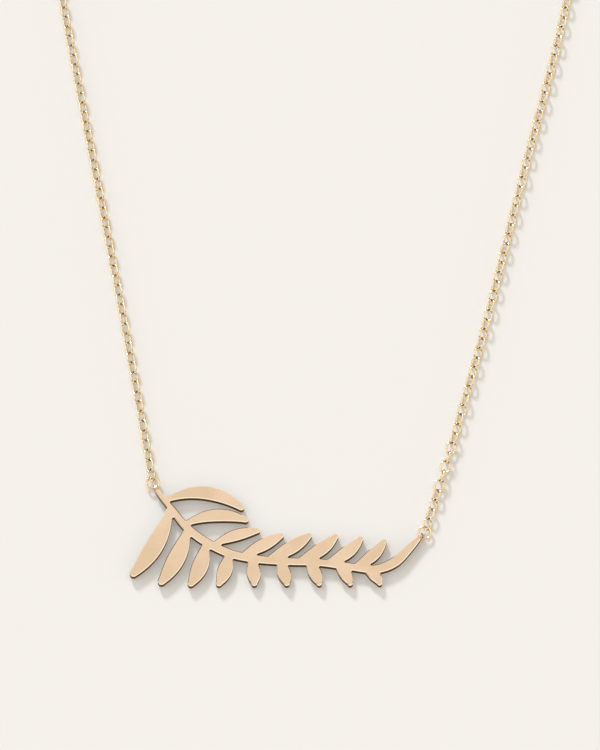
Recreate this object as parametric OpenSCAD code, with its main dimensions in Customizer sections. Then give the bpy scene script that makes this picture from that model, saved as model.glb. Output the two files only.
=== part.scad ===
// A pierced plate on a fine cable chain, laid out flat as a closed loop.
// Millimetres. +Z is up and the surface it lies on is z = 0. The plate is at -Y, the clasp at +Y.

/* [Plate] */
// Width of the pierced plate
plate_w = 36.6; // [33:0.1:39]
// Height of the pierced plate, without the arm that rises to the left eyelet
plate_h = 12.0; // [11:0.1:13.5]
// Thickness of the plate
plate_t = 1.0; // [0.8:0.05:1.3]
// Width of the widest leaf
leaf_w = 2.2; // [1.8:0.05:2.3]
// Width of the stem where it is widest
stem_w = 1.25; // [0.9:0.05:1.5]
// Radius of the hollow corner between a leaf and the stem
corner_r = 0.12; // [0.06:0.02:0.2]

/* [Eyelets] */
// Outside diameter of the upright eyelet at each end of the plate
eyelet_d = 1.0; // [0.9:0.05:1.2]
// Bore of the eyelet
eyelet_bore = 0.52; // [0.5:0.02:0.6]
// Width of the eyelet along its bore
eyelet_w = 0.46; // [0.36:0.02:0.5]

/* [Jump rings] */
// Outside diameter of the two rings that hold the plate
ring_od = 1.85; // [1.75:0.05:2.2]
// Wire of the two rings
ring_wire = 0.28; // [0.22:0.02:0.32]

/* [Chain] */
// Length of one link, outside
link_l = 1.86; // [1.8:0.01:2]
// Width of one link, outside
link_w = 1.4; // [1.3:0.02:1.5]
// Wire of a link
link_wire = 0.27; // [0.22:0.01:0.28]
// Angle at which a link leans from lying flat
link_lean = 45; // [40:1:50]
// Clearance between a strand's end link and the ring that it holds
link_gap = 0.08; // [0.06:0.01:0.1]

/* [Clasp] */
// Outside diameter of the clasp's ring
clasp_od = 5.0; // [4.5:0.1:6.5]
// Thickness of the clasp's ring
clasp_wire = 0.9; // [0.7:0.05:1]
// Outside diameter of the eye soldered to the clasp
eye_od = 2.0; // [1.9:0.05:2.4]
// Wire of the clasp's eye
eye_wire = 0.34; // [0.26:0.02:0.34]
// Outside diameter of the ring that the clasp closes on
end_od = 2.8; // [2.7:0.05:3.2]
// Wire of the ring that the clasp closes on
end_wire = 0.32; // [0.26:0.02:0.32]
// Clearance between the clasp and the ring that it closes on
clasp_gap = 0.1; // [0.06:0.02:0.14]

/* [Loop] */
// Distance of the plate's middle in front of the loop's middle
plate_y = 93; // [90:0.5:96]
// Distance of the plate's middle to the left of the loop's middle
plate_x = 4.8; // [3.5:0.1:6]
// Distance of the clasp behind the loop's middle
clasp_y = 96.6; // [95.6:0.1:98]

/* [Hidden] */

// Stem of the spray, from the left eyelet to the right one:
// share of the plate's width, share of its height, share of the stem's width
STEM = [
    [0.080, 1.070, 0.40],
    [0.095, 0.990, 0.50],
    [0.135, 0.835, 0.65],
    [0.180, 0.655, 0.80],
    [0.245, 0.490, 0.85],
    [0.330, 0.355, 0.85],
    [0.425, 0.290, 0.80],
    [0.530, 0.265, 0.75],
    [0.630, 0.255, 0.75],
    [0.735, 0.210, 0.75],
    [0.825, 0.180, 0.85],
    [0.890, 0.255, 1.00],
    [0.940, 0.405, 0.80],
    [0.980, 0.540, 0.40]
];

// Leaves: foot and tip, each as shares of the plate's width and height,
// then the share of the widest leaf and the sideways bow as a share of the leaf's length
LEAVES = [
    [0.110, 0.930, 0.370, 0.855, 0.76, 0.16],
    [0.175, 0.665, 0.385, 0.720, 0.72, 0.12],
    [0.275, 0.450, 0.425, 0.600, 0.66, 0.05],
    [0.370, 0.325, 0.505, 0.545, 0.72, 0.00],
    [0.460, 0.290, 0.600, 0.545, 0.78, -0.03],
    [0.560, 0.265, 0.690, 0.535, 0.76, -0.06],
    [0.655, 0.245, 0.775, 0.510, 0.74, -0.08],
    [0.750, 0.200, 0.855, 0.480, 0.70, -0.08],
    [0.130, 0.855, 0.005, 0.135, 1.00, 0.06],
    [0.190, 0.645, 0.100, 0.045, 0.97, 0.05],
    [0.250, 0.480, 0.200, 0.025, 0.90, 0.06],
    [0.330, 0.365, 0.295, 0.025, 0.82, 0.04],
    [0.405, 0.310, 0.415, 0.025, 0.78, 0.02],
    [0.500, 0.280, 0.525, 0.025, 0.76, 0.02],
    [0.595, 0.265, 0.635, 0.025, 0.74, 0.05],
    [0.690, 0.245, 0.740, 0.025, 0.70, 0.08],
    [0.780, 0.200, 0.840, 0.025, 0.64, 0.12]
];

// Points along each strand of chain, from the plate to the clasp
ROUTE_LEFT = [
    [-22.9, -71.6], [-25.7, -56.0], [-28.9, -38.8], [-32.5, -19.0], [-35.8, 2.6], [-38.0, 24.4],
    [-38.5, 45.4], [-36.2, 63.4], [-30.6, 78.6], [-22.0, 89.2], [-12.0, 95.0]
];
ROUTE_RIGHT = [
    [17.1, -79.0], [21.3, -63.2], [25.7, -44.8], [30.9, -23.6], [35.3, -0.6], [37.9, 22.4],
    [38.5, 44.4], [36.2, 63.0], [30.6, 78.6], [22.0, 89.2], [12.4, 95.0]
];

stem_steps = 6;
leaf_steps = 18;
leaf_foot = 0.32;
leaf_turn = 153;
tip_sides = 16;
strand_steps = 3;
strand_sides = 8;
round_sides = 96;
// The strand stands this much proud of its links all round
strand_skin = 0.02;
// Length of an end link that the strand grips
strand_grip = 0.38;
// Depth to which the eye is soldered into the clasp's ring
eye_seat = 0.2;

// A leaning link just touches the surface, less the strand's skin
strand_h = (link_w - link_wire) * sin(link_lean) + link_wire + 2 * strand_skin;
chain_z = strand_h / 2;
ring_r = (ring_od - ring_wire) / 2;
link_r = (link_w - link_wire) / 2;
clasp_r = (clasp_od - clasp_wire) / 2;
eye_r = (eye_od - eye_wire) / 2;
end_r = (end_od - end_wire) / 2;

// The clasp's ring rests on the surface at its eye and on the end ring at the other side
clasp_tilt = asin((end_od - clasp_wire) / 2 / (2 * clasp_r));
clasp_reach = clasp_r * cos(clasp_tilt);
end_x = -clasp_reach - (end_od / 2 - end_wire - clasp_wire / 2 - clasp_gap);
eye_x = clasp_reach + clasp_wire / 2 + eye_r - eye_seat;

// Where the left strand's level end link holds the upright end ring, below the ring's middle
end_drop = end_od / 2 - chain_z;
end_hole_r = end_r - end_wire / 2;
end_lean = asin(end_drop / end_r);
end_inner_lean = asin(end_drop / end_hole_r);
end_hold = [end_x - end_r * cos(end_lean), clasp_y];
end_reach = end_r * cos(end_lean) - end_hole_r * cos(end_inner_lean)
    + link_wire / 2 * tan(end_inner_lean) + link_gap + link_wire / 2;
eye_mid = [eye_x, clasp_y];

plate_mid = [-plate_x, -plate_y];
eyelet_left = on_plate(STEM[0].x, STEM[0].y);
eyelet_right = on_plate(STEM[len(STEM) - 1].x, STEM[len(STEM) - 1].y);
arm_left = unit(eyelet_left - on_plate(STEM[1].x, STEM[1].y));
arm_right = unit(eyelet_right - on_plate(STEM[len(STEM) - 2].x, STEM[len(STEM) - 2].y));
ring_left = eyelet_left + arm_left * ring_r;
ring_right = eyelet_right + arm_right * ring_r;

function unit(v) = v / norm(v);
function left_of(v) = [-v.y, v.x];
function heading(v) = atan2(v.y, v.x);
function last(list) = list[len(list) - 1];
function on_plate(along, up) =
    plate_mid + [(along - 0.5) * plate_w, (up - 0.5) * plate_h];

// Smooth curve through a list of rows, each row numbers of any kind
function row_at(rows, i) = rows[max(0, min(len(rows) - 1, i))];
function between(rows, i, t) =
    let (a = row_at(rows, i - 1), b = row_at(rows, i), c = row_at(rows, i + 1), d = row_at(rows, i + 2))
    0.5 * (2 * b + (c - a) * t + (2 * a - 5 * b + 4 * c - d) * t * t
        + (3 * b - a - 3 * c + d) * t * t * t);
function smooth(rows, steps) =
    concat([for (i = [0 : len(rows) - 2]) for (k = [0 : steps - 1]) between(rows, i, k / steps)],
        [last(rows)]);
function tangent(line, i) =
    let (a = row_at(line, i - 1), b = row_at(line, i + 1))
    unit([b.x - a.x, b.y - a.y]);

// Outline of a stroke whose rows are x, y and full width
function edge(line, i, s) =
    [line[i].x, line[i].y] + s * left_of(tangent(line, i)) * line[i].z / 2;
module stroke(line) {
    n = len(line) - 1;
    polygon(concat([for (i = [0 : n]) edge(line, i, 1)], [for (i = [n : -1 : 0]) edge(line, i, -1)]));
}

module leaf(row) {
    foot = on_plate(row[0], row[1]);
    run = on_plate(row[2], row[3]) - foot;
    widest = row[4] * leaf_w;
    bow = left_of(run) * row[5] * 4;
    line = [for (k = [0 : leaf_steps])
        let (t = k / leaf_steps, p = foot + run * t + bow * t * (1 - t))
        [p.x, p.y, widest * (leaf_foot * pow(1 - t, 3) + sin(leaf_turn * t))]];
    stroke(line);
    translate([last(line).x, last(line).y]) circle(d = last(line).z, $fn = tip_sides);
}

module stem() {
    stroke(smooth([for (row = STEM)
        let (p = on_plate(row.x, row.y))
        [p.x, p.y, max(row.z * stem_w, eyelet_w)]], stem_steps));
}

module spray() {
    offset(r = -corner_r, $fn = tip_sides) offset(delta = corner_r) {
        stem();
        for (row = LEAVES) leaf(row);
    }
}

// A cylinder lying across an arm, centred on its eyelet
module across(place, arm, d, h) {
    translate([place.x, place.y, chain_z]) rotate([90, 0, heading(arm)])
        cylinder(d = d, h = h, center = true, $fn = round_sides);
}

module nameplate() {
    color("#e3c49b") difference() {
        union() {
            linear_extrude(plate_t) spray();
            across(eyelet_left, arm_left, eyelet_d, eyelet_w);
            across(eyelet_right, arm_right, eyelet_d, eyelet_w);
        }
        across(eyelet_left, arm_left, eyelet_bore, 2 * eyelet_w);
        across(eyelet_right, arm_right, eyelet_bore, 2 * eyelet_w);
    }
}

module wire_ring(r, wire) {
    rotate_extrude($fn = round_sides) translate([r, 0]) circle(d = wire, $fn = round_sides);
}

module jump_ring(place) {
    color("#d9b36a") translate([place.x, place.y, chain_z]) wire_ring(ring_r, ring_wire);
}
module jump_ring_left() jump_ring(ring_left);
module jump_ring_right() jump_ring(ring_right);

// One link lying along +X with its outer end at the origin
module link() {
    bend = link_l / 2 - link_w / 2;
    translate([link_l / 2, 0, 0]) for (s = [-1, 1]) {
        translate([s * bend, 0, 0]) rotate([0, 0, s > 0 ? -90 : 90])
            rotate_extrude(angle = 180, $fn = round_sides)
                translate([link_r, 0]) circle(d = link_wire, $fn = round_sides);
        translate([-bend, s * link_r, 0]) rotate([0, 90, 0])
            cylinder(d = link_wire, h = 2 * bend, $fn = round_sides);
    }
}

// The middle of a level ring's wire where a strand pulls on it
function far_side(middle, r, next) = middle + unit(next - middle) * r;

// From the middle of a level ring's wire to that of the leaning link that it holds.
// The two bends come nearest a little to one side of their middles, and keep the clearance there.
function lean_reach(held_r, held_wire) =
    let (clear = held_wire / 2 + link_gap + link_wire / 2, rise = pow(sin(link_lean), 2),
        bend = (1 - rise) / (2 * held_r) + 1 / (2 * link_r))
    2 * bend * clear < rise ? clear : bend * clear * clear / rise + rise / (4 * bend);

// The outer end of a strand's end link, just past the wire that it holds
function strand_end(held, reach, next) = held - unit(next - held) * (reach + link_wire / 2);

// Eight-sided tube along a route, flat side down
module tube(route) {
    line = smooth(route, strand_steps);
    n = len(line);
    corner = strand_h / 2 / cos(180 / strand_sides);
    points = [for (i = [0 : n - 1]) for (k = [0 : strand_sides - 1])
        let (turn = 360 * (k + 0.5) / strand_sides, out = left_of(tangent(line, i)) * corner * cos(turn))
        [line[i].x + out.x, line[i].y + out.y, chain_z + corner * sin(turn)]];
    start_cap = [for (k = [0 : strand_sides - 1]) k];
    end_cap = [for (k = [strand_sides - 1 : -1 : 0]) (n - 1) * strand_sides + k];
    skin = [for (i = [0 : n - 2]) for (k = [0 : strand_sides - 1])
        let (a = i * strand_sides + k, b = i * strand_sides + (k + 1) % strand_sides)
        for (face = [[a, a + strand_sides, b], [b, a + strand_sides, b + strand_sides]]) face];
    polyhedron(points, concat([start_cap, end_cap], skin));
}

// A strand from one held wire to another; each roll turns that end's link about the strand
module strand(from, from_reach, from_roll, route, to, to_reach, to_roll) {
    start = strand_end(from, from_reach, route[0]);
    finish = strand_end(to, to_reach, last(route));
    along = unit(route[0] - start);
    back = unit(last(route) - finish);
    bare = link_l - strand_grip;
    color("#d9b36a") {
        tube(concat([start + along * bare], route, [finish + back * bare]));
        translate([start.x, start.y, chain_z]) rotate([from_roll, 0, heading(along)]) link();
        translate([finish.x, finish.y, chain_z]) rotate([to_roll, 0, heading(back)]) link();
    }
}
module chain_left() {
    strand(far_side(ring_left, ring_r, ROUTE_LEFT[0]), lean_reach(ring_r, ring_wire), link_lean,
        ROUTE_LEFT, end_hold, end_reach, 0);
}
module chain_right() {
    strand(far_side(ring_right, ring_r, ROUTE_RIGHT[0]), lean_reach(ring_r, ring_wire), link_lean,
        ROUTE_RIGHT, far_side(eye_mid, eye_r, last(ROUTE_RIGHT)), lean_reach(eye_r, eye_wire), link_lean);
}

module end_ring() {
    color("#d9b36a") translate([end_x, clasp_y, end_od / 2]) rotate([90, 0, 0])
        wire_ring(end_r, end_wire);
}

module clasp() {
    color("#d9b36a") {
        translate([0, clasp_y, (end_od + clasp_wire) / 4]) rotate([0, clasp_tilt, 0])
            wire_ring(clasp_r, clasp_wire);
        translate([eye_x, clasp_y, chain_z]) wire_ring(eye_r, eye_wire);
    }
}

nameplate();
jump_ring_left();
jump_ring_right();
chain_left();
chain_right();
end_ring();
clasp();
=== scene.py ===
import math

import bmesh
import bpy
import numpy as np
from mathutils import Matrix, Vector


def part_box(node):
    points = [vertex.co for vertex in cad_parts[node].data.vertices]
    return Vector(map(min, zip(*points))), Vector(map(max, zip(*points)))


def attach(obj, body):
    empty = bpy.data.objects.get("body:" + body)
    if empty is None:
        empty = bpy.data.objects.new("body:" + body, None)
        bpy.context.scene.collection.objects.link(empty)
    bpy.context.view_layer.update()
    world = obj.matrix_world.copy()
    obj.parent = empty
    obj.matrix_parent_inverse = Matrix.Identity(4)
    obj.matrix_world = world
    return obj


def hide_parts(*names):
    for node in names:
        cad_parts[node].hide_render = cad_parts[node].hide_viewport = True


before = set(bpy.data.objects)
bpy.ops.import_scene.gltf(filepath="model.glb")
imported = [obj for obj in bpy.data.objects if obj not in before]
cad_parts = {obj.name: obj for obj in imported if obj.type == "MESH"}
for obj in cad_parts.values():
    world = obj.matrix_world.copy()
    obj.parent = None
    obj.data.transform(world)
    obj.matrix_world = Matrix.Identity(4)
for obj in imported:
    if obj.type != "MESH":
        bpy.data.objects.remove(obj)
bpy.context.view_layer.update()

# Camera
# It looks down on the plate from in front, 70 degrees above the table, through a long lens.
# The plate fills the lower half of the picture and both strands run out of its top edge.
camera_height_angle = math.radians(70)
camera_aim = Vector((-0.00224, -0.07105, 0.0005))
picture_width = 0.075
picture_height = picture_width * 750 / 600
lens_mm = 600
film_mm = 36

camera_data = bpy.data.cameras.new("camera")
camera_data.lens = lens_mm
camera_data.sensor_width = film_mm
camera_data.clip_start = 0.01
camera_data.clip_end = 20
camera = bpy.data.objects.new("camera", camera_data)
to_camera = Vector((0, -math.cos(camera_height_angle), math.sin(camera_height_angle)))
camera.location = camera_aim + to_camera * (picture_height * lens_mm / film_mm)
camera.rotation_euler = to_camera.to_track_quat("Z", "Y").to_euler()
bpy.context.scene.collection.objects.link(camera)
bpy.context.scene.camera = camera

# Nameplate
# One sheet of 14 karat gold, sawn out along its leaves, its front polished to a fine satin.
# Its rims are chamfered and coloured pale as a painted highlight, its walls are coloured dark as
# painted shade, and each arm has a soldered eyelet.
plate_middle = Vector((-0.0048, -0.093, 0))
plate_width = 0.0366
plate_height = 0.012
plate_thickness = 0.001
plate_chamfer = 0.0001
facing_down = -0.99
back_slack = 0.000001
shortest_edge = 0.00002
same_point = 0.0000001
eyelet_ends = (((0.08, 1.07), (0.095, 0.99)), ((0.98, 0.54), (0.94, 0.405)))
eyelet_outside = 0.001
eyelet_bore = 0.00052
eyelet_width = 0.00046
eyelet_rim = 0.00006
# Within this reach of an eyelet the painted rim highlight and painted wall shade fade out.
eyelet_unpainted_reach = (0.00055, 0.00068)
eyelet_height = (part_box("jump_ring_left")[0].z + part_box("jump_ring_left")[1].z) / 2
round_steps = 40
spun_seam = 0.00000001
millimetres = 1000
plate_gold = (0.82, 0.62, 0.43, 1)
plate_gold_warm = (0.745, 0.55, 0.365, 1)
# The rims' pale colour is a painted highlight and the walls' dark colour is painted shade.
plate_rim_painted_highlight = (0.96, 0.86, 0.72, 1)
plate_wall_painted_shade = (0.12, 0.075, 0.04, 1)
front_level = (0.90, 0.995)
wall_level = (0.05, 0.3)
satin_lines = (700, 16000, 900)
satin_turn = math.radians(-14)
crossing_lines = (11000, 900, 900)
crossing_turn = math.radians(9)
saw_marks = (9000, 9000, 500)
satin_depth = 0.000003


class Signal:
    """One output socket of a node. Arithmetic on it adds Math nodes to the same finish."""

    def __init__(self, finish, socket):
        self.finish = finish
        self.socket = socket

    def math(self, operation, *values):
        return self.finish.add("Math", {"operation": operation}, dict(enumerate(values)))

    def __add__(self, other):
        return self.math("ADD", self, other)

    def __sub__(self, other):
        return self.math("SUBTRACT", self, other)

    def __rsub__(self, other):
        return self.math("SUBTRACT", other, self)

    def __mul__(self, other):
        return self.math("MULTIPLY", self, other)

    def __abs__(self):
        return self.math("ABSOLUTE", self)

    __radd__ = __add__
    __rmul__ = __mul__


class Finish:
    """The nodes of one material, or of the light around the table."""

    mottling = 0.14
    relief_strength = 0.6
    crevice_reach = 0.0003
    crevice_samples = 12

    def __init__(self, owner):
        owner.use_nodes = True
        self.tree = owner.node_tree
        self.tree.nodes.clear()

    def add(self, kind, settings, sockets, output=0):
        """Adds a node of that type: its settings first, then a value or a link for each socket."""
        node = self.tree.nodes.new("ShaderNode" + kind)
        for name, setting in settings.items():
            setattr(node, name, setting)
        for name, value in sockets.items():
            if isinstance(value, Signal):
                self.tree.links.new(value.socket, node.inputs[name])
            else:
                node.inputs[name].default_value = value
        return Signal(self, node.outputs[output] if node.outputs else None)

    def place(self, scale=(1, 1, 1), turn=0.0):
        """The piece's own coordinates, turned about the upright axis and scaled."""
        where = self.add("TexCoord", {}, {}, "Object")
        return self.add("Mapping", {}, {"Vector": where, "Rotation": (0, 0, turn), "Scale": scale})

    def noise(self, scale, detail=3.0, at=None):
        """Soft noise, 0 to 1, with that many patches in a metre."""
        return self.add("TexNoise", {}, {
            "Vector": at or self.place(), "Scale": scale, "Detail": detail})

    def between(self, value, low, high):
        """0 where the value is under low, 1 where it is over high, and smooth between them."""
        return self.add("MapRange", {"interpolation_type": "SMOOTHSTEP"},
                        {"Value": value, "From Min": low, "From Max": high})

    def blend(self, share, first, second):
        """The first colour where share is 0, the second where it is 1."""
        return self.add("Mix", {"data_type": "RGBA"}, {0: share, 6: first, 7: second}, 2)

    def mottled(self, pattern, first, second, spread=mottling):
        """The first colour where the pattern is low, the second where it is high."""
        return self.blend(self.between(pattern, 0.5 - spread, 0.5 + spread), first, second)

    def painted_crevice_shade(self, bright, crevice_shade_colour, own_piece_only, dark_under, bright_over):
        """The bright colour in the open, and painted shade in the crevices, where ambient occlusion
        finds surfaces close by.
        """
        open_share = self.add(
            "AmbientOcclusion", {"samples": self.crevice_samples, "only_local": own_piece_only},
            {"Distance": self.crevice_reach}, "AO")
        return self.blend(self.between(open_share, dark_under, bright_over), crevice_shade_colour, bright)

    def metal(self, colour, edge_colour, roughness, relief, relief_height):
        """Bare metal: its colour, roughness and relief may vary, its colour at glancing angles not."""
        normal = self.add("Bump", {}, {
            "Height": relief, "Distance": relief_height, "Strength": self.relief_strength})
        surface = self.add("BsdfPrincipled", {}, {
            "Base Color": colour, "Specular Tint": edge_colour, "Roughness": roughness, "Metallic": 1.0,
            "Normal": normal})
        self.add("OutputMaterial", {}, {"Surface": surface})


def satin_plate_gold(eyelets):
    """Satin on the sheet's front, with a painted highlight on the rims and painted shade on the walls,
    both fading out at the eyelets.
    """
    material = bpy.data.materials.new("satin_plate_gold")
    finish = Finish(material)
    here = finish.place()
    sheet = 1.0
    for eyelet in eyelets:
        away = finish.add("VectorMath", {"operation": "DISTANCE"}, {0: here, 1: eyelet}, "Value")
        sheet = finish.between(away, *eyelet_unpainted_reach) * sheet
    across = finish.add("NewGeometry", {}, {}, "Normal")
    level = abs(finish.add("SeparateXYZ", {}, {"Vector": across}, "Z"))
    flat = finish.between(level, *front_level)
    upright = 1 - finish.between(level, *wall_level)
    wall = upright * sheet
    rim = (1 - flat - upright) * sheet
    brushed = finish.noise(1.0, 4.0, finish.place(satin_lines, satin_turn))
    crossed = finish.noise(1.0, 2.0, finish.place(crossing_lines, crossing_turn))
    sawn = finish.noise(1.0, 2.0, finish.place(saw_marks))
    handled = finish.noise(170.0, 4.0)
    cloudy = finish.noise(520.0, 3.0)
    face = finish.mottled(handled * 0.7 + cloudy * 0.3, plate_gold, plate_gold_warm)
    # Painted highlight on the chamfered rims and painted shade on the walls, over the mottled satin
    # face.
    edged = finish.blend(wall, finish.blend(rim, face, plate_rim_painted_highlight), plate_wall_painted_shade)
    roughness = 0.22 + brushed * 0.06 + handled * 0.05 + wall * sawn * 0.15 - rim * 0.06
    relief = flat * (brushed * 0.8 + crossed * 0.2) + wall * sawn
    finish.metal(edged, plate_gold, roughness, relief, satin_depth)
    return material


def new_piece(name, shape, material, sharp_angle=math.radians(38)):
    """Makes the bmesh an object at the origin, smooth except across its sharp edges."""
    mesh = bpy.data.meshes.new(name)
    for face in shape.faces:
        face.smooth = True
    shape.to_mesh(mesh)
    shape.free()
    mesh.set_sharp_from_angle(angle=sharp_angle)
    mesh.materials.append(material)
    piece = bpy.data.objects.new(name, mesh)
    bpy.context.scene.collection.objects.link(piece)
    return piece


def join_solid(piece, tool_shape, operation):
    """Adds the tool's solid to the piece or cuts it away, worked out in millimetres."""
    tool = new_piece("tool", tool_shape, piece.data.materials[0])
    for solid in (tool, piece):
        solid.data.transform(Matrix.Scale(millimetres, 4))
    cut = piece.modifiers.new("join", "BOOLEAN")
    cut.operation = operation
    cut.solver = "MANIFOLD"
    cut.object = tool
    depsgraph = bpy.context.evaluated_depsgraph_get()
    joined = bpy.data.meshes.new_from_object(piece.evaluated_get(depsgraph))
    joined.transform(Matrix.Scale(1 / millimetres, 4))
    piece.modifiers.remove(cut)
    piece.data = joined
    bpy.data.objects.remove(tool)


def on_plate(along, up):
    """A point on the plate, as shares of its width and height."""
    return plate_middle + Vector(((along - 0.5) * plate_width, (up - 0.5) * plate_height, 0))


def sawn_plate():
    """The solid plate, drawn up from the flat back of the CAD plate, with both rims chamfered."""
    shape = bmesh.new()
    shape.from_mesh(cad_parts["nameplate"].data)
    bmesh.ops.remove_doubles(shape, verts=shape.verts, dist=same_point)
    rest = [face for face in shape.faces
            if face.normal.z > facing_down or face.calc_center_median().z > back_slack]
    bmesh.ops.delete(shape, geom=rest, context="FACES")
    bmesh.ops.remove_doubles(shape, verts=shape.verts, dist=shortest_edge)
    bmesh.ops.dissolve_faces(shape, faces=shape.faces)
    grown = bmesh.ops.extrude_face_region(shape, geom=shape.faces)
    front = [part for part in grown["geom"] if isinstance(part, bmesh.types.BMVert)]
    bmesh.ops.translate(shape, verts=front, vec=(0, 0, plate_thickness))
    bmesh.ops.recalc_face_normals(shape, faces=shape.faces)
    rims = [edge for edge in shape.edges
            if abs(edge.verts[0].co.z - edge.verts[1].co.z) < same_point]
    bmesh.ops.bevel(shape, geom=rims, offset=plate_chamfer, offset_type="OFFSET", segments=1,
                    profile=0.5, affect="EDGES", material=-1, clamp_overlap=False)
    return shape


def upright_eyelet(place, arm):
    """A ring standing across the arm: a rounded rectangle spun round the arm's crosswise axis."""
    shape = bmesh.new()
    bmesh.ops.create_grid(shape, x_segments=1, y_segments=1, size=0.5)
    bmesh.ops.scale(shape, vec=((eyelet_outside - eyelet_bore) / 2, eyelet_width, 1),
                    verts=shape.verts)
    bmesh.ops.translate(shape, vec=((eyelet_outside + eyelet_bore) / 4, 0, 0), verts=shape.verts)
    bmesh.ops.bevel(shape, geom=shape.verts, offset=eyelet_rim, offset_type="OFFSET", segments=3,
                    profile=0.5, affect="VERTICES", material=-1)
    bmesh.ops.delete(shape, geom=shape.faces, context="FACES_ONLY")
    bmesh.ops.spin(shape, geom=shape.verts[:] + shape.edges[:], cent=(0, 0, 0), axis=(0, 1, 0),
                   angle=math.tau, steps=round_steps, use_merge=True)
    bmesh.ops.remove_doubles(shape, verts=shape.verts, dist=spun_seam)
    bmesh.ops.recalc_face_normals(shape, faces=shape.faces)
    turn = Matrix.Rotation(math.atan2(arm.y, arm.x), 4, "Z")
    bmesh.ops.transform(shape, matrix=Matrix.Translation(place) @ turn, verts=shape.verts)
    return shape


def bore_pin(place, arm):
    """The round bar that drills the eyelet's bore."""
    shape = bmesh.new()
    bmesh.ops.create_cone(shape, cap_ends=True, segments=round_steps, radius1=eyelet_bore / 2,
                          radius2=eyelet_bore / 2, depth=3 * eyelet_width)
    turn = Matrix.Rotation(math.atan2(arm.y, arm.x), 4, "Z") @ Matrix.Rotation(math.tau / 4, 4, "X")
    bmesh.ops.transform(shape, matrix=Matrix.Translation(place) @ turn, verts=shape.verts)
    return shape


eyelet_arms = []
for end, before_end in eyelet_ends:
    arm = on_plate(*end) - on_plate(*before_end)
    eyelet_arms.append((on_plate(*end) + Vector((0, 0, eyelet_height)), arm))
nameplate = new_piece("leaf_nameplate", sawn_plate(),
                      satin_plate_gold([eyelet for eyelet, arm in eyelet_arms]))
for eyelet, arm in eyelet_arms:
    join_solid(nameplate, bore_pin(eyelet, arm), "DIFFERENCE")
    join_solid(nameplate, upright_eyelet(eyelet, arm), "UNION")
weighted = nameplate.modifiers.new("flat_faces_lead", "WEIGHTED_NORMAL")
weighted.keep_sharp = True
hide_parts("nameplate")
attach(nameplate, "root")

# Jump rings
# Two rings of round gold wire, one through each eyelet, each holding the first link of its strand.
# Drawn wire wound on a mandrel, cut, closed and soldered, then tumbled bright.
wire_sides = 20
wire_gold = (0.95, 0.79, 0.52, 1)
wire_gold_warm = (0.91, 0.70, 0.40, 1)
# Painted shade for the wire where other surfaces close in.
wire_painted_shade = (0.16, 0.08, 0.02, 1)
wire_crevices = (0.35, 0.85)
wire_mottling = 0.15
drawing_lines = (14000, 14000, 3000)
dent_depth = 0.000004


def tumbled_wire_gold():
    """Bright wire with faint drawing lines and tumbling dents, and painted shade where other surfaces
    close in.
    """
    material = bpy.data.materials.new("tumbled_wire_gold")
    finish = Finish(material)
    handled = finish.noise(900.0, 3.0)
    drawn = finish.noise(1.0, 3.0, finish.place(drawing_lines))
    dents = finish.noise(5200.0, 2.0)
    bright = finish.mottled(handled, wire_gold, wire_gold_warm, wire_mottling)
    # Painted shade from ambient occlusion, where links, eyelets or the table close in on the wire.
    colour = finish.painted_crevice_shade(bright, wire_painted_shade, False, *wire_crevices)
    roughness = 0.13 + handled * 0.06 + drawn * 0.05
    finish.metal(colour, wire_gold_warm, roughness, drawn * 0.5 + dents * 0.5, dent_depth)
    return material


def wire_ring(middle, ring_radius, wire, turn):
    """A closed ring of round wire, level until it is turned about its middle."""
    shape = bmesh.new()
    stand = Matrix.Translation((ring_radius, 0, 0)) @ Matrix.Rotation(math.tau / 4, 4, "X")
    bmesh.ops.create_circle(shape, segments=wire_sides, radius=wire / 2, matrix=stand)
    bmesh.ops.spin(shape, geom=shape.verts[:] + shape.edges[:], cent=(0, 0, 0), axis=(0, 0, 1),
                   angle=math.tau, steps=2 * round_steps, use_merge=True)
    bmesh.ops.remove_doubles(shape, verts=shape.verts, dist=spun_seam)
    bmesh.ops.recalc_face_normals(shape, faces=shape.faces)
    bmesh.ops.transform(shape, matrix=Matrix.Translation(middle) @ turn, verts=shape.verts)
    return shape


wire_material = tumbled_wire_gold()
ring_middles = {}
for side in ("left", "right"):
    low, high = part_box("jump_ring_" + side)
    ring_middles[side] = (low + high) / 2
    jump_ring_wire = high.z - low.z
    jump_ring_radius = (high.x - low.x - jump_ring_wire) / 2
    ring = wire_ring(ring_middles[side], jump_ring_radius, jump_ring_wire, Matrix.Identity(4))
    jump_ring = new_piece("wire_jump_ring_" + side, ring, wire_material)
    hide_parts("jump_ring_" + side)
    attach(jump_ring, "root")

# Chain
# Two strands of cable chain: oval links of round gold wire, each soldered shut round the last one.
# The links lean by turns to one side and the other, and a few near the right ring lie flat and stand.
link_length = 0.00186
link_width = 0.0014
link_wire = 0.00027
link_gap = 0.00008
link_slack = 0.000006
link_lift = 0.00002
link_droop = 0.00006
link_lean = 45
link_sways = ((4, 0.0027), (3, 0.00097))
calm_end_links = 3
flat_links = {"left": range(0), "right": range(4, 9)}
flat_lean = 13
link_sides = 6
link_bend_steps = 5
strand_grip = 0.00038
line_steps = 6
bend_radius = (link_width - link_wire) / 2
strand_middle_height = ring_middles["left"].z
chain_gold = (1.0, 0.86, 0.60, 1)
chain_gold_warm = (0.97, 0.76, 0.45, 1)
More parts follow.
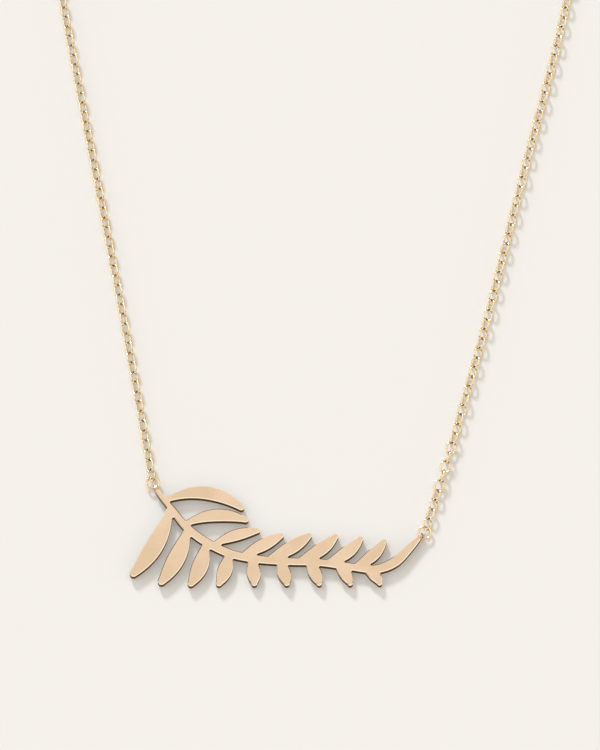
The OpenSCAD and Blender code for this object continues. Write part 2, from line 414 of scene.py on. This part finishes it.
# Painted shade for the spots where links meet.
chain_painted_shade = (0.14, 0.055, 0.006, 1)
chain_crevices = (0.55, 0.97)
link_dent_depth = 0.000003
chain_routes = {
    "left": [
        (-0.0229, -0.0716), (-0.0257, -0.0560), (-0.0289, -0.0388), (-0.0325, -0.0190),
        (-0.0358, 0.0026), (-0.0380, 0.0244), (-0.0385, 0.0454), (-0.0362, 0.0634),
        (-0.0306, 0.0786), (-0.0220, 0.0892), (-0.0120, 0.0950)],
    "right": [
        (0.0171, -0.0790), (0.0213, -0.0632), (0.0257, -0.0448), (0.0309, -0.0236),
        (0.0353, -0.0006), (0.0379, 0.0224), (0.0385, 0.0444), (0.0362, 0.0630),
        (0.0306, 0.0786), (0.0220, 0.0892), (0.0124, 0.0950)]}
end_ring_low, end_ring_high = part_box("end_ring")
end_ring_middle = (end_ring_low + end_ring_high) / 2
end_ring_wire = end_ring_high.y - end_ring_low.y
end_ring_radius = (end_ring_high.x - end_ring_low.x - end_ring_wire) / 2
eye_outside = 0.002
eye_wire = 0.00034
eye_radius = (eye_outside - eye_wire) / 2
clasp_low, clasp_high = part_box("clasp")
clasp_depth_middle = (clasp_low.y + clasp_high.y) / 2


def bright_chain_gold():
    """Link gold that varies a little along the strand, with a spot of painted shade where two links
    meet.
    """
    material = bpy.data.materials.new("bright_chain_gold")
    finish = Finish(material)
    by_link = finish.noise(780.0, 1.0)
    handled = finish.noise(3800.0, 3.0)
    dents = finish.noise(9000.0, 2.0)
    bright = finish.mottled(by_link * 0.6 + handled * 0.4, chain_gold, chain_gold_warm)
    # Painted shade from ambient occlusion by the strand's own links.
    colour = finish.painted_crevice_shade(bright, chain_painted_shade, True, *chain_crevices)
    roughness = 0.12 + handled * 0.08
    finish.metal(colour, chain_gold_warm, roughness, dents, link_dent_depth)
    return material


def oval_link():
    """One link lying along X: a wire circle spun round each bend and drawn along each side."""
    bend_reach = bend_radius * math.cos(math.pi / (2 * link_bend_steps))
    straight = link_length - link_wire - 2 * bend_reach
    shape = bmesh.new()
    stand = Matrix.Translation((straight / 2, -bend_radius, 0)) @ Matrix.Rotation(math.tau / 4, 4, "Y")
    bmesh.ops.create_circle(shape, segments=link_sides, radius=link_wire / 2, matrix=stand)
    end_loop = shape.verts[:] + shape.edges[:]
    for side in (1, -1):
        bent = bmesh.ops.spin(shape, geom=end_loop, cent=(side * straight / 2, 0, 0), axis=(0, 0, 1),
                              angle=math.pi, steps=link_bend_steps)
        drawn = bmesh.ops.extrude_edge_only(
            shape, edges=[part for part in bent["geom_last"] if isinstance(part, bmesh.types.BMEdge)])
        end_loop = [part for part in drawn["geom"] if not isinstance(part, bmesh.types.BMFace)]
        moved = [part for part in end_loop if isinstance(part, bmesh.types.BMVert)]
        bmesh.ops.translate(shape, verts=moved, vec=(-side * straight, 0, 0))
        end_loop = moved + [part for part in end_loop if isinstance(part, bmesh.types.BMEdge)
                            and all(vert in moved for vert in part.verts)]
    bmesh.ops.remove_doubles(shape, verts=shape.verts, dist=same_point)
    bmesh.ops.recalc_face_normals(shape, faces=shape.faces)
    mesh = bpy.data.meshes.new("link")
    shape.to_mesh(mesh)
    shape.free()
    return mesh


def smooth_line(points):
    """The smooth curve through the points that the CAD strand follows too."""
    ends = [points[0]] + points + [points[-1]]
    line = []
    for a, b, c, d in zip(ends, ends[1:], ends[2:], ends[3:]):
        for step in range(line_steps):
            t = step / line_steps
            line.append(0.5 * (2 * b + (c - a) * t + (2 * a - 5 * b + 4 * c - d) * t * t
                               + (3 * b - a - 3 * c + d) * t * t * t))
    return line + [points[-1]]


def strand_line(held, route, held_last):
    """The strand's middle line, from the outer end of its first link to that of its last."""
    points = [Vector(point) for point in route]
    ends = []
    for (wire_middle, reach), near in ((held, points[0]), (held_last, points[-1])):
        outer = wire_middle - (near - wire_middle).normalized() * (reach + link_wire / 2)
        ends.append((outer, outer + (near - outer).normalized() * (link_length - strand_grip)))
    (start, after_start), (finish, before_finish) = ends
    return [start] + smooth_line([after_start] + points + [before_finish]) + [finish]


def lean_of_link(number, last, near, flat, last_level):
    """How far that link leans, in degrees: swaying a little, except near the strand's ends."""
    sway = sum(angle * math.sin(near / length) for angle, length in link_sways)
    if number in flat:
        lean = flat_lean + sway / 2
    else:
        lean = link_lean + sway * min(1, number / calm_end_links, (last - number) / calm_end_links)
    to_level = number - last + calm_end_links
    if last_level and to_level > 0:
        level_lean = 90 * (last % 2)
        lean += (level_lean - lean) * to_level / calm_end_links
    return lean


def lay_strand(line, flat, last_level):
    """Lays links along the line, each through the last, and rolls each one a quarter turn on."""
    link = oval_link()
    points = np.array([tuple(point) for point in line])
    reach = np.concatenate([[0], np.cumsum(np.linalg.norm(np.diff(points, axis=0), axis=1))])
    free_length = reach[-1] - link_length
    steps = math.ceil(free_length / (link_length - 2 * link_wire - link_slack))
    pitch = free_length / steps
    shape = bmesh.new()
    for number in range(steps + 1):
        near = number * pitch
        ends = [Vector((np.interp(at, reach, points[:, 0]), np.interp(at, reach, points[:, 1]), 0))
                for at in (near, near + link_length)]
        heading = ends[1] - ends[0]
        roll = math.radians(lean_of_link(number, steps, near, flat, last_level) + 90 * number)
        rise = bend_radius * abs(math.sin(roll))
        middle_height = bend_radius * max(abs(math.sin(roll)), abs(math.cos(roll)))
        height = max(rise, middle_height - link_droop) + link_wire / 2 + link_lift
        place = (Matrix.Translation((ends[0] + ends[1]) / 2 + Vector((0, 0, height)))
                 @ Matrix.Rotation(math.atan2(heading.y, heading.x), 4, "Z")
                 @ Matrix.Rotation(roll, 4, "X"))
        before = len(shape.verts)
        shape.from_mesh(link)
        shape.verts.ensure_lookup_table()
        bmesh.ops.transform(shape, matrix=place, verts=shape.verts[before:])
    bpy.data.meshes.remove(link)
    return shape


def far_side(middle, radius, wire, near):
    """Where a level ring's wire is pulled on from near, and how far inside it the link's wire lies."""
    middle = Vector(middle.xy)
    clear = wire / 2 + link_gap + link_wire / 2
    rise = math.sin(math.radians(link_lean)) ** 2
    bend = (1 - rise) / (2 * radius) + 1 / (2 * bend_radius)
    return (middle + (Vector(near) - middle).normalized() * radius,
            bend * clear * clear / rise + rise / (4 * bend))


chain_material = bright_chain_gold()
end_ring_drop = end_ring_middle.z - strand_middle_height
end_ring_hole = end_ring_radius - end_ring_wire / 2
wire_reach = math.sqrt(end_ring_radius ** 2 - end_ring_drop ** 2)
hole_reach = math.sqrt(end_ring_hole ** 2 - end_ring_drop ** 2)
end_ring_held = (Vector((end_ring_middle.x - wire_reach, end_ring_middle.y)),
                 wire_reach - hole_reach + link_wire / 2 * end_ring_drop / hole_reach
                 + link_gap + link_wire / 2)
eye_middle = Vector((clasp_high.x - eye_outside / 2, clasp_depth_middle, strand_middle_height))
eye_held = far_side(eye_middle, eye_radius, eye_wire, chain_routes["right"][-1])
for side, held_last, last_level in (("left", end_ring_held, True), ("right", eye_held, False)):
    route = chain_routes[side]
    held = far_side(ring_middles[side], jump_ring_radius, jump_ring_wire, route[0])
    links = lay_strand(strand_line(held, route, held_last), flat_links[side], last_level)
    strand = new_piece("cable_chain_" + side, links, chain_material, math.pi)
    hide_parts("chain_" + side)
    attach(strand, "root")

# End ring
# A plain ring of the same round gold wire, soldered shut, ends the left strand.
# It stands upright between the strand's last link and the clasp that closes on it.
end_ring = new_piece("wire_end_ring", wire_ring(end_ring_middle, end_ring_radius, end_ring_wire,
                                                Matrix.Rotation(math.tau / 4, 4, "X")), wire_material)
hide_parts("end_ring")
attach(end_ring, "root")

# Clasp
# A round clasp of bent gold tube, polished, with a wire eye soldered to its side for the right strand.
# It rests on the table at its eye and leans on the end ring at its other side.
clasp_outside = 0.005
clasp_wire = 0.0009
clasp_radius = (clasp_outside - clasp_wire) / 2
end_ring_size = end_ring_high.z - end_ring_low.z
clasp_tilt = math.asin((end_ring_size - clasp_wire) / 2 / (2 * clasp_radius))
clasp_middle = Vector((0, clasp_depth_middle, (end_ring_size + clasp_wire) / 4))
scratch_lines = (16000, 1500, 1500)
scratch_turn = math.radians(31)
scratch_depth = 0.000003


def polished_clasp_gold():
    """Polished tube with fine scratches from wear, the same gold as the wire, with painted shade where
    surfaces close in.
    """
    material = bpy.data.materials.new("polished_clasp_gold")
    finish = Finish(material)
    handled = finish.noise(420.0, 4.0)
    scratches = finish.noise(1.0, 3.0, finish.place(scratch_lines, scratch_turn))
    bright = finish.mottled(handled, wire_gold, wire_gold_warm)
    # Painted shade from ambient occlusion where the end ring, links or the table close in.
    colour = finish.painted_crevice_shade(bright, wire_painted_shade, False, *wire_crevices)
    roughness = 0.12 + handled * 0.06 + scratches * 0.06
    finish.metal(colour, wire_gold_warm, roughness, scratches, scratch_depth)
    return material


clasp = new_piece("ring_clasp", wire_ring(clasp_middle, clasp_radius, clasp_wire,
                                          Matrix.Rotation(clasp_tilt, 4, "Y")), polished_clasp_gold())
join_solid(clasp, wire_ring(eye_middle, eye_radius, eye_wire, Matrix.Identity(4)), "UNION")
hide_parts("clasp")
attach(clasp, "root")

# Table and light
# A plain warm white light table under a wide softbox, with a low white card round its front and right.
# One small softened lamp far off behind the left strand draws short shadows to the front.
table_half = 5.0
table_drop = 0.00001
table_white = (0.611, 0.600, 0.572, 1)
table_roughness = 0.9
table_glow = 0.34
room = (0.37, 0.29, 0.20, 1)
softbox = (1.02, 1.00, 0.98, 1)
softbox_back_angle = math.radians(20)
softbox_angles = (28, 46)
left_window = (1.5, 1.48, 1.45, 1)
left_window_middle = Vector((-0.8, 0.15, 0.6)).normalized()
left_window_angles = (22, 36)
low_card = (1.08, 1.04, 0.96, 1)
low_card_right_angle = math.radians(28)
low_card_top = (0.48, 0.64)
low_card_side = (-0.15, 0.15)
camera_gap = (0.05, 0.03, 0.012, 1)
camera_gap_angles = (8, 15)
backdrop = (0.90, 0.88, 0.83, 1)
lamp_height_angle = math.radians(29)
lamp_left_angle = math.radians(20)
lamp_spread = math.radians(10)
lamp_power = 2.3
lamp_colour = (0.94, 0.99, 1.07)

table_shape = bmesh.new()
bmesh.ops.create_grid(table_shape, x_segments=1, y_segments=1, size=table_half)
bmesh.ops.translate(table_shape, verts=table_shape.verts, vec=(0, 0, -table_drop))
table_material = bpy.data.materials.new("table_white")
table_finish = Finish(table_material)
table_surface = table_finish.add("BsdfPrincipled", {}, {
    "Base Color": table_white, "Roughness": table_roughness, "Emission Color": table_white,
    "Emission Strength": table_glow})
table_finish.add("OutputMaterial", {}, {"Surface": table_surface})
new_piece("table", table_shape, table_material)

studio = bpy.data.worlds.new("studio")
studio_light = Finish(studio)
direction = studio_light.add("TexCoord", {}, {}, "Generated")


def towards(middle):
    """The cosine of the angle between the direction and that middle."""
    return studio_light.add("VectorMath", {"operation": "DOT_PRODUCT"},
                            {0: direction, 1: middle}, "Value")


def studio_patch(middle, angles):
    """1 inside a round patch of the studio, fading to 0 from its first angle to its second."""
    inner, outer = (math.cos(math.radians(angle)) for angle in angles)
    return studio_light.between(towards(middle), outer, inner)


softbox_middle = (0, math.sin(softbox_back_angle), math.cos(softbox_back_angle))
low_card_middle = (math.sin(low_card_right_angle), -math.cos(low_card_right_angle), 0)
height = studio_light.add("SeparateXYZ", {}, {"Vector": direction}, "Z")
under_card_top = 1 - studio_light.between(height, *low_card_top)
on_card = studio_light.between(towards(low_card_middle), *low_card_side) * under_card_top
glow = studio_light.blend(studio_patch(left_window_middle, left_window_angles), room, left_window)
glow = studio_light.blend(studio_patch(softbox_middle, softbox_angles), glow, softbox)
glow = studio_light.blend(on_card, glow, low_card)
glow = studio_light.blend(studio_patch(to_camera, camera_gap_angles), glow, camera_gap)
glow = studio_light.blend(studio_light.add("LightPath", {}, {}, "Is Camera Ray"), glow, backdrop)
background = studio_light.add("Background", {}, {"Color": glow, "Strength": 1.0})
studio_light.add("OutputWorld", {}, {"Surface": background})
bpy.context.scene.world = studio

lamp_data = bpy.data.lights.new("lamp", "SUN")
lamp_data.energy = lamp_power
lamp_data.color = lamp_colour
lamp_data.angle = lamp_spread
lamp = bpy.data.objects.new("lamp", lamp_data)
to_lamp = Vector((-math.sin(lamp_left_angle) * math.cos(lamp_height_angle),
                  math.cos(lamp_left_angle) * math.cos(lamp_height_angle),
                  math.sin(lamp_height_angle)))
lamp.rotation_euler = to_lamp.to_track_quat("Z", "Y").to_euler()
bpy.context.scene.collection.objects.link(lamp)
bpy.context.scene.view_settings.view_transform = "Standard"
